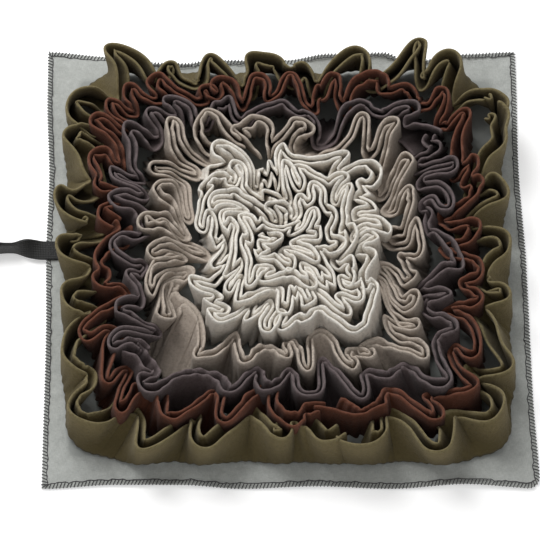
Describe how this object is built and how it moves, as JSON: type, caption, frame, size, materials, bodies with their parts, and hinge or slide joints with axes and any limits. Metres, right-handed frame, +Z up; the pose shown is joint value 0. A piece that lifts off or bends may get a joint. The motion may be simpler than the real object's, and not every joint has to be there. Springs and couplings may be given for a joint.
{
  "type": "snuffle mat",
  "caption": "Square snuffle mat: gathered fleece strips sewn on edge in nested squares on a felt base, with a webbing loop at one side.",
  "frame": {"origin": "middle of the square base, on the flat underside that rests on the floor", "axes": "+Z up out of the mat, +X to the right and away from the webbing loop, +Y to the far side"},
  "size_m": [0.603, 0.496, 0.0619],
  "materials": {
    "felt_grey": "matt light grey needled felt, dark overlock thread round its edge",
    "fleece_olive": "soft napped fleece, olive green",
    "fleece_rust": "soft napped fleece, rust brown",
    "fleece_plum": "soft napped fleece, plum grey",
    "fleece_taupe": "soft napped fleece, taupe",
    "fleece_cream": "soft napped fleece, cream",
    "webbing_black": "ribbed black webbing"
  },
  "bodies": {
    "root": {"felt_base": "felt_grey", "olive_strip_1": "fleece_olive", "olive_strip_2": "fleece_olive", "olive_strip_3": "fleece_olive", "rust_strip_1": "fleece_rust", "rust_strip_2": "fleece_rust", "plum_strip_1": "fleece_plum", "plum_strip_2": "fleece_plum", "taupe_strip_1": "fleece_taupe", "taupe_strip_2": "fleece_taupe", "cream_strip": "fleece_cream", "webbing_loop": "webbing_black"}
  },
  "joints": []
}
